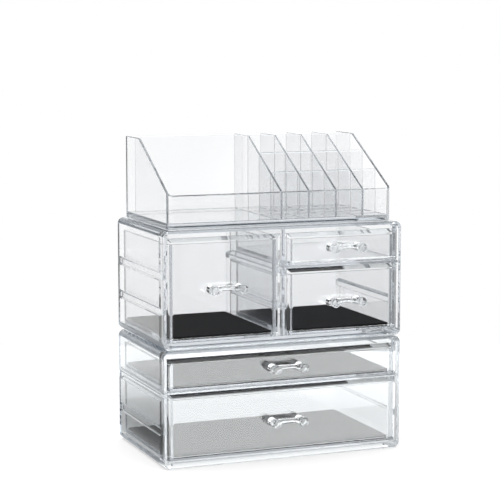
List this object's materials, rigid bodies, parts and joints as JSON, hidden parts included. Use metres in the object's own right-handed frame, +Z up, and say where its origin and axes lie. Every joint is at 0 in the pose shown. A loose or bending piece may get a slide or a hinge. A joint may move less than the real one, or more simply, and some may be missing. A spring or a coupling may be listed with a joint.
{
  "type": "makeup organizer",
  "caption": "Clear stacking makeup organizer: drawer cases with bow handles and dark liners under a sloped open tray with divided cells.",
  "frame": {"origin": "on the standing surface, under the middle of the whole organizer with its handles", "axes": "+Z up, +X to the right as seen from the front, drawers open along -Y"},
  "size_m": [0.24, 0.15, 0.2991],
  "materials": {
    "clear_case": "clear polished plastic",
    "clear_drawer": "clear polished plastic",
    "clear_front": "clear polished plastic with a bevelled border",
    "clear_handle": "clear polished plastic",
    "clear_tray": "clear polished plastic",
    "black_mat": "matt black felt-like liner"
  },
  "bodies": {
    "lower_case": {"lower_case_shell": "clear_case", "lower_case_shelf": "clear_case"},
    "lower_shallow_drawer": {"lower_shallow_drawer_box": "clear_drawer", "lower_shallow_drawer_front": "clear_front", "lower_shallow_drawer_handle": "clear_handle", "lower_shallow_drawer_mat": "black_mat"},
    "lower_deep_drawer": {"lower_deep_drawer_box": "clear_drawer", "lower_deep_drawer_front": "clear_front", "lower_deep_drawer_handle": "clear_handle", "lower_deep_drawer_mat": "black_mat"},
    "middle_case": {"middle_case_shell": "clear_case", "middle_case_partition": "clear_case", "middle_case_shelf": "clear_case"},
    "left_tall_drawer": {"left_tall_drawer_box": "clear_drawer", "left_tall_drawer_front": "clear_front", "left_tall_drawer_handle": "clear_handle", "left_tall_drawer_mat": "black_mat"},
    "right_shallow_drawer": {"right_shallow_drawer_box": "clear_drawer", "right_shallow_drawer_front": "clear_front", "right_shallow_drawer_handle": "clear_handle"},
    "right_medium_drawer": {"right_medium_drawer_box": "clear_drawer", "right_medium_drawer_front": "clear_front", "right_medium_drawer_handle": "clear_handle", "right_medium_drawer_mat": "black_mat"},
    "top_tray": {"top_tray_shell": "clear_tray", "tray_brush_divider": "clear_tray", "tray_long_divider_1": "clear_tray", "tray_long_divider_2": "clear_tray", "tray_long_divider_3": "clear_tray", "tray_long_divider_4": "clear_tray", "tray_cross_divider_1_1": "clear_tray", "tray_cross_divider_1_2": "clear_tray", "tray_cross_divider_1_3": "clear_tray", "tray_cross_divider_2_1": "clear_tray", "tray_cross_divider_2_2": "clear_tray", "tray_cross_divider_2_3": "clear_tray", "tray_cross_divider_3_1": "clear_tray", "tray_cross_divider_3_2": "clear_tray", "tray_cross_divider_3_3": "clear_tray", "tray_cross_divider_4_1": "clear_tray", "tray_cross_divider_4_2": "clear_tray", "tray_cross_divider_4_3": "clear_tray"}
  },
  "joints": [
    {"name": "lower_shallow_drawer_slide", "type": "slide", "parent": "lower_case", "child": "lower_shallow_drawer", "axis": [0, -1, 0], "range_m": [0, 0.11]},
    {"name": "lower_deep_drawer_slide", "type": "slide", "parent": "lower_case", "child": "lower_deep_drawer", "axis": [0, -1, 0], "range_m": [0, 0.11]},
    {"name": "middle_case_lift", "type": "slide", "parent": "lower_case", "child": "middle_case", "axis": [0, 0, 1], "range_m": [0, 0.06]},
    {"name": "left_tall_drawer_slide", "type": "slide", "parent": "middle_case", "child": "left_tall_drawer", "axis": [0, -1, 0], "range_m": [0, 0.11]},
    {"name": "right_shallow_drawer_slide", "type": "slide", "parent": "middle_case", "child": "right_shallow_drawer", "axis": [0, -1, 0], "range_m": [0, 0.11]},
    {"name": "right_medium_drawer_slide", "type": "slide", "parent": "middle_case", "child": "right_medium_drawer", "axis": [0, -1, 0], "range_m": [0, 0.11]},
    {"name": "top_tray_lift", "type": "slide", "parent": "middle_case", "child": "top_tray", "axis": [0, 0, 1], "range_m": [0, 0.06]}
  ]
}
